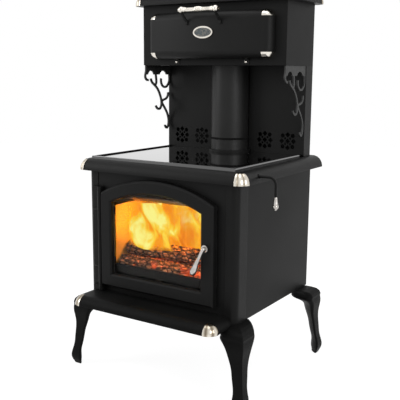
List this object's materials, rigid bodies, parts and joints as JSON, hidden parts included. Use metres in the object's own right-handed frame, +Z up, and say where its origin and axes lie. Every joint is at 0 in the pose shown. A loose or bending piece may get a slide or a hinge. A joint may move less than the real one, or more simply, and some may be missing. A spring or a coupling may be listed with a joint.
{
  "type": "wood stove",
  "caption": "Black cast wood cook stove on cabriole legs, with an arched glass fire door, warming closet with drop-down door, nickel trim and a flue pipe through the top.",
  "frame": {"origin": "floor level under the middle of the casing: on the plane of symmetry of the casing and halfway between the casing's front and back faces", "axes": "+X to the right of a person facing the fire door, +Y from the fire door to the back, +Z up"},
  "size_m": [0.8415, 0.7586, 1.5],
  "materials": {
    "cast_black": "satin black stove paint",
    "black_sheet": "satin black stove paint",
    "gloss_top": "polished black",
    "nickel": "polished nickel plate",
    "steel": "bare steel",
    "firebrick": "rough pumice firebrick",
    "rope": "glass fibre gasket",
    "door_glass": "clear ceramic glass",
    "badge_enamel": "plain enamel"
  },
  "bodies": {
    "stove": {"front_panel": "cast_black", "left_front_post": "cast_black", "right_front_post": "cast_black", "cooktop_rim": "cast_black", "ash_lip": "cast_black", "leg_front_left": "cast_black", "leg_front_right": "cast_black", "leg_rear_left": "cast_black", "leg_rear_right": "cast_black", "crown": "cast_black", "scroll_bracket_left": "cast_black", "scroll_bracket_right": "cast_black", "hinge_cover": "cast_black", "fire_door_hinges": "cast_black", "bottom_pan": "black_sheet", "left_side_panel": "black_sheet", "right_side_panel": "black_sheet", "back_panel": "black_sheet", "closet_shell": "black_sheet", "closet_divider": "black_sheet", "backsplash_left": "black_sheet", "backsplash_right": "black_sheet", "back_shield": "black_sheet", "flue_pipe": "black_sheet", "flue_collar": "black_sheet", "closet_hinges": "black_sheet", "cooktop_plate": "gloss_top", "rim_corner_caps": "nickel", "lip_corner_caps": "nickel", "crown_corner_caps": "nickel", "closet_hinge_screws": "nickel", "firebox_shell": "steel", "firebox_rails": "steel", "air_tubes": "steel", "log_retainer": "steel", "latch_catch": "steel", "air_duct": "steel", "rod_bushing": "steel", "leg_bolts": "steel", "pipe_band": "steel", "floor_bricks": "firebrick", "wall_bricks": "firebrick", "baffle_boards": "firebrick"},
    "fire_door": {"door_frame": "cast_black", "door_glass": "door_glass", "door_gaskets": "rope", "glass_clips": "steel"},
    "latch_handle": {"door_handle": "nickel", "latch_cam": "steel"},
    "closet_door": {"closet_door_panel": "black_sheet", "closet_door_liner": "black_sheet", "closet_door_caps": "nickel", "closet_handle_bar": "nickel", "closet_handle_straps": "black_sheet", "badge_bezel": "nickel", "badge_inlay": "badge_enamel", "closet_door_lugs": "black_sheet"},
    "air_control": {"air_rod": "steel", "air_knob": "nickel", "air_shutter": "steel"}
  },
  "joints": [
    {"name": "fire_door_hinge", "type": "hinge", "parent": "stove", "child": "fire_door", "pos_m": [-0.265, -0.3145, 0.53], "axis": [0, 0, -1], "range_deg": [0, 115]},
    {"name": "latch_turn", "type": "hinge", "parent": "fire_door", "child": "latch_handle", "pos_m": [0.2275, -0.3145, 0.56], "axis": [0, 1, 0], "range_deg": [-25, 65]},
    {"name": "closet_door_hinge", "type": "hinge", "parent": "stove", "child": "closet_door", "pos_m": [0, 0.0455, 1.209], "axis": [1, 0, 0], "range_deg": [0, 90]},
    {"name": "air_slide", "type": "slide", "parent": "stove", "child": "air_control", "axis": [1, 0, 0], "range_m": [-0.04, 0.02]}
  ]
}
